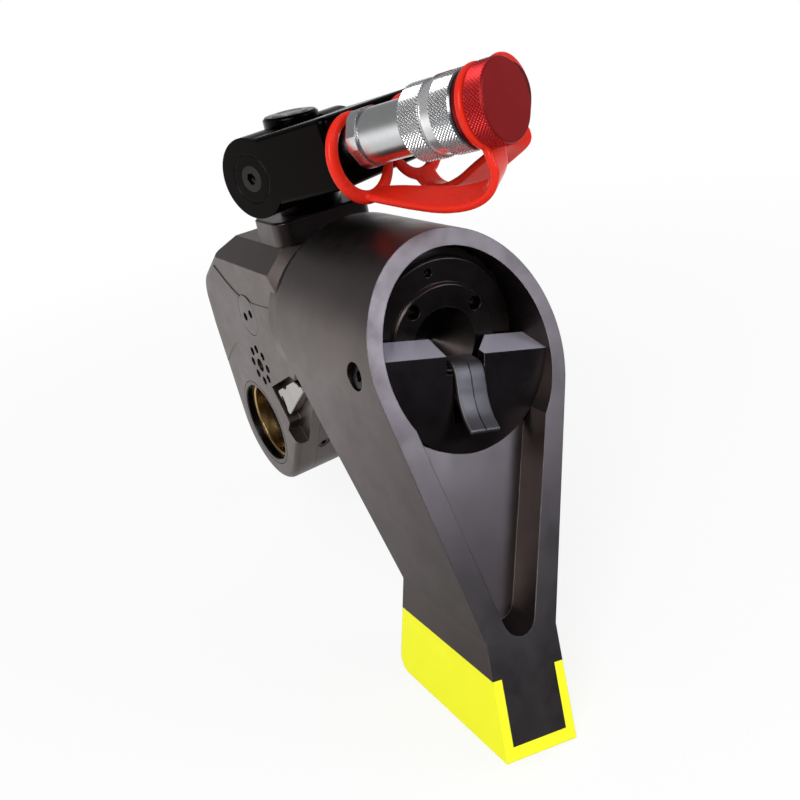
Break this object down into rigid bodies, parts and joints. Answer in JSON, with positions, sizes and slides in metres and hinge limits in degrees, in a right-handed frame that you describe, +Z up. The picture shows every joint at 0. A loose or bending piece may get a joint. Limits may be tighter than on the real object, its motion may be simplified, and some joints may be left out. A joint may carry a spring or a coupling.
{
  "type": "hydraulic torque wrench",
  "caption": "Square drive hydraulic torque wrench with a splined reaction arm, a swivelling coupler block and capped hose couplers.",
  "frame": {"origin": "on the drive axis, in the middle of the housing's width", "axes": "+X forward from the cylinder to the nose, +Y to the side with the open bush and the release lever, +Z up from the drive to the cylinder"},
  "size_m": [0.2316, 0.108, 0.215],
  "materials": {
    "dark_alloy": "dark grey anodised, fine satin",
    "bronze_grey": "grey brown, satin",
    "dark_steel": "blackened, satin",
    "hard_steel": "ground",
    "black_screw": "black oxide",
    "bronze": "turned",
    "polished_steel": "polished",
    "coupler_steel": "bright zinc plate, satin",
    "red_anodised": "red anodised",
    "red_rubber": "glossy moulded rubber",
    "yellow_paint": "yellow paint, satin",
    "seal_rubber": "matte"
  },
  "bodies": {
    "housing_body": {"housing": "dark_alloy", "heel_cover": "dark_alloy", "cover_screws": "black_screw", "left_bush": "bronze", "right_bush": "bronze", "left_bush_ring": "dark_steel", "right_bush_ring": "dark_steel", "end_cap": "dark_alloy", "end_cap_lock_screw": "black_screw", "rod_seal": "seal_rubber", "swivel_base": "dark_alloy", "left_side_plug": "dark_steel", "right_side_plug": "dark_steel", "vent_screw": "black_screw"},
    "piston_body": {"piston": "hard_steel", "piston_seal": "seal_rubber", "piston_rod": "hard_steel"},
    "crank_body": {"left_drive_plate": "hard_steel", "right_drive_plate": "hard_steel", "rod_pin": "hard_steel", "drive_pawl_pin": "hard_steel"},
    "drive_pawl_body": {"drive_pawl": "hard_steel"},
    "release_body": {"holding_pawl": "hard_steel", "release_shaft": "hard_steel", "release_lever": "polished_steel"},
    "drive_body": {"ratchet_wheel": "hard_steel", "square_drive": "dark_steel", "drive_retainer": "dark_steel"},
    "button_body": {"retainer_button": "polished_steel"},
    "swivel_body": {"swivel_post": "dark_steel", "swivel_cap": "dark_steel"},
    "block_body": {"swivel_block": "dark_steel", "trunnions": "hard_steel", "trunnion_plugs": "dark_steel", "trunnion_screws": "black_screw", "advance_coupler": "coupler_steel", "return_nipple": "coupler_steel", "advance_tether": "red_rubber", "return_tether": "red_rubber"},
    "collar_body": {"coupler_collar": "coupler_steel"},
    "advance_cap_body": {"advance_cap": "red_anodised"},
    "return_cap_body": {"return_cap": "red_anodised"},
    "arm_body": {"reaction_arm": "dark_alloy", "foot_shoe": "yellow_paint", "arm_half_plate": "bronze_grey", "arm_screws": "black_screw", "latch_pin": "hard_steel"},
    "latch_body": {"latch_lever": "bronze_grey"}
  },
  "joints": [
    {"name": "crank_swing", "type": "hinge", "parent": "housing_body", "child": "crank_body", "pos_m": [0, 0, 0], "axis": [0, 1, 0], "range_deg": [0, 30]},
    {"name": "piston_slide", "type": "slide", "parent": "housing_body", "child": "piston_body", "axis": [1, 0, 0], "range_m": [0, 0.0317]},
    {"name": "drive_pawl_tilt", "type": "hinge", "parent": "crank_body", "child": "drive_pawl_body", "pos_m": [-0.01386, 0, 0.03431], "axis": [0, 1, 0], "range_deg": [0, 5]},
    {"name": "release_lever_tilt", "type": "hinge", "parent": "housing_body", "child": "release_body", "pos_m": [-0.032, 0, 0.0203], "axis": [0, 1, 0], "range_deg": [-4.5, 4.5], "stiffness_Nm_per_rad": 1},
    {"name": "drive_spin", "type": "hinge", "parent": "housing_body", "child": "drive_body", "pos_m": [0, 0, 0], "axis": [0, 1, 0], "continuous": true},
    {"name": "retainer_press", "type": "slide", "parent": "drive_body", "child": "button_body", "axis": [0, -1, 0], "range_m": [0, 0.002], "stiffness_N_per_m": 400},
    {"name": "swivel_turn", "type": "hinge", "parent": "housing_body", "child": "swivel_body", "pos_m": [-0.0405, 0, 0.091], "axis": [0, 0, 1], "continuous": true},
    {"name": "block_tilt", "type": "hinge", "parent": "swivel_body", "child": "block_body", "pos_m": [-0.0405, 0, 0.1202], "axis": [-0.3387, 0.9409, 0], "range_deg": [0, 163.6]},
    {"name": "collar_slide", "type": "slide", "parent": "block_body", "child": "collar_body", "axis": [0.9313, 0.3353, -0.1426], "range_m": [0, 0.004], "stiffness_N_per_m": 800},
    {"name": "advance_cap_turn", "type": "hinge", "parent": "block_body", "child": "advance_cap_body", "pos_m": [-0.14413, -0.02083, 0.13779], "axis": [-0.9313, -0.3353, 0.1426], "continuous": true},
    {"name": "return_cap_turn", "type": "hinge", "parent": "block_body", "child": "return_cap_body", "pos_m": [-0.10941, -0.04129, 0.13409], "axis": [-0.9313, -0.3353, 0.1426], "continuous": true},
    {"name": "arm_slide", "type": "slide", "parent": "housing_body", "child": "arm_body", "axis": [-1, 0, 0], "range_m": [0, 0.04]},
    {"name": "latch_tilt", "type": "hinge", "parent": "arm_body", "child": "latch_body", "pos_m": [-0.132, 0.00169, 0.05324], "axis": [0, -0.9595, -0.2817], "range_deg": [0, 12], "stiffness_Nm_per_rad": 0.4}
  ],
  "couplings": [
    {"joint": "piston_slide", "follows": "crank_swing", "m_per_rad": 0.06028}
  ]
}
